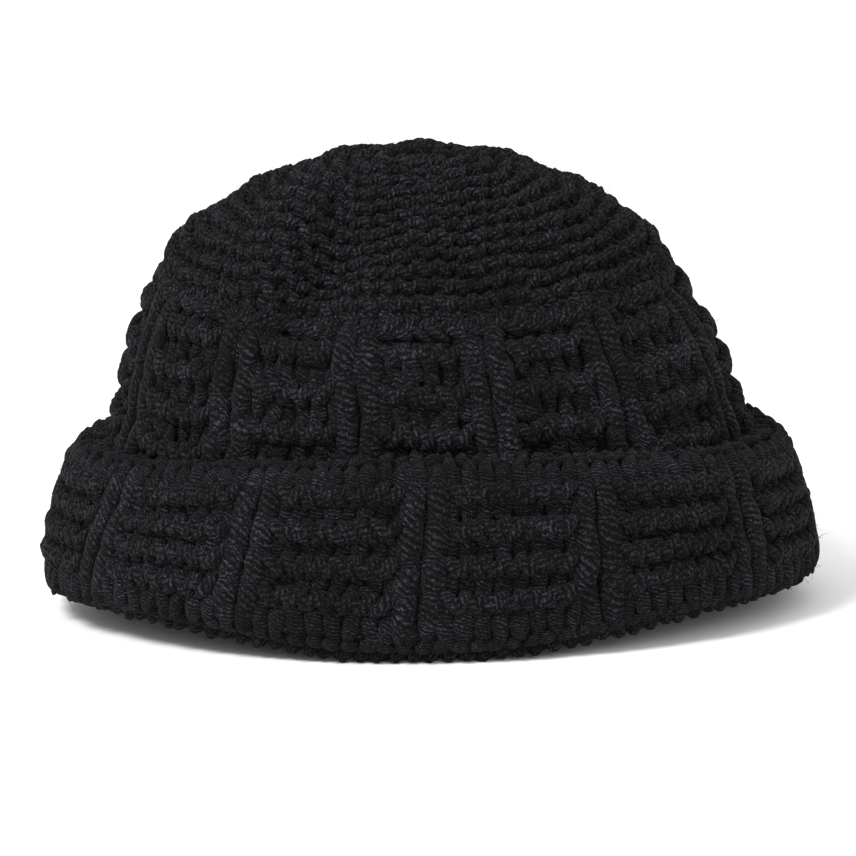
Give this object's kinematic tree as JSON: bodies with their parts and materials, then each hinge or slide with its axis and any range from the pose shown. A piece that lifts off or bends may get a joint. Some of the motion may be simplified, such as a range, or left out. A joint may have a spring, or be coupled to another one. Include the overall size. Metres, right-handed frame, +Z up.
{
  "type": "knit beanie",
  "caption": "Chunky knit beanie with a deep turned-up cuff, paired twisted ribs with ladder stitches between, and a shallow crown of concentric ridges.",
  "frame": {"origin": "middle of the surface that the hat stands on, at the centre of its oval mouth", "axes": "+Z up to the crown, +X along the long side of the oval mouth, -Y the front"},
  "size_m": [0.2352, 0.1788, 0.146],
  "materials": {
    "wool_knit": "charcoal-black wool, matt, chunky knit",
    "wool_raised_stitches": "charcoal-black wool, matt, raised twisted stitches",
    "wool_yarn_edges": "charcoal-black wool yarn, matt, rounded edge"
  },
  "bodies": {
    "root": {"body_rib_pair_01": "wool_raised_stitches", "body_rib_pair_02": "wool_raised_stitches", "body_rib_pair_03": "wool_raised_stitches", "body_rib_pair_04": "wool_raised_stitches", "body_rib_pair_05": "wool_raised_stitches", "body_rib_pair_06": "wool_raised_stitches", "body_rib_pair_07": "wool_raised_stitches", "body_rib_pair_08": "wool_raised_stitches", "body_rib_pair_09": "wool_raised_stitches", "body_rib_pair_10": "wool_raised_stitches", "body_rib_pair_11": "wool_raised_stitches", "body_rib_pair_12": "wool_raised_stitches", "body_rung_row_1": "wool_raised_stitches", "body_rung_row_2": "wool_raised_stitches", "body_rung_row_3": "wool_raised_stitches", "body_rung_row_4": "wool_raised_stitches", "body_rung_row_5": "wool_raised_stitches", "body_wall": "wool_knit", "cast_on_edge": "wool_yarn_edges", "cast_on_tail": "wool_yarn_edges", "closing_yarn_tail": "wool_yarn_edges", "crown_border_round": "wool_yarn_edges", "crown_cap": "wool_knit", "crown_closing_yarn": "wool_yarn_edges", "crown_ridge_01": "wool_raised_stitches", "crown_ridge_02": "wool_raised_stitches", "crown_ridge_03": "wool_raised_stitches", "crown_ridge_04": "wool_raised_stitches", "crown_ridge_05": "wool_raised_stitches", "crown_ridge_06": "wool_raised_stitches", "crown_ridge_07": "wool_raised_stitches", "crown_ridge_08": "wool_raised_stitches", "crown_ridge_09": "wool_raised_stitches", "crown_ridge_10": "wool_raised_stitches", "crown_ridge_11": "wool_raised_stitches", "crown_ridge_12": "wool_raised_stitches", "cuff_layer": "wool_knit", "cuff_rib_pair_01": "wool_raised_stitches", "cuff_rib_pair_02": "wool_raised_stitches", "cuff_rib_pair_03": "wool_raised_stitches", "cuff_rib_pair_04": "wool_raised_stitches", "cuff_rib_pair_05": "wool_raised_stitches", "cuff_rib_pair_06": "wool_raised_stitches", "cuff_rib_pair_07": "wool_raised_stitches", "cuff_rib_pair_08": "wool_raised_stitches", "cuff_rib_pair_09": "wool_raised_stitches", "cuff_rib_pair_10": "wool_raised_stitches", "cuff_rib_pair_11": "wool_raised_stitches", "cuff_rib_pair_12": "wool_raised_stitches", "cuff_rung_row_1": "wool_raised_stitches", "cuff_rung_row_2": "wool_raised_stitches", "cuff_rung_row_3": "wool_raised_stitches", "cuff_rung_row_4": "wool_raised_stitches", "fold_roll": "wool_knit", "inner_band": "wool_knit"}
  },
  "joints": []
}
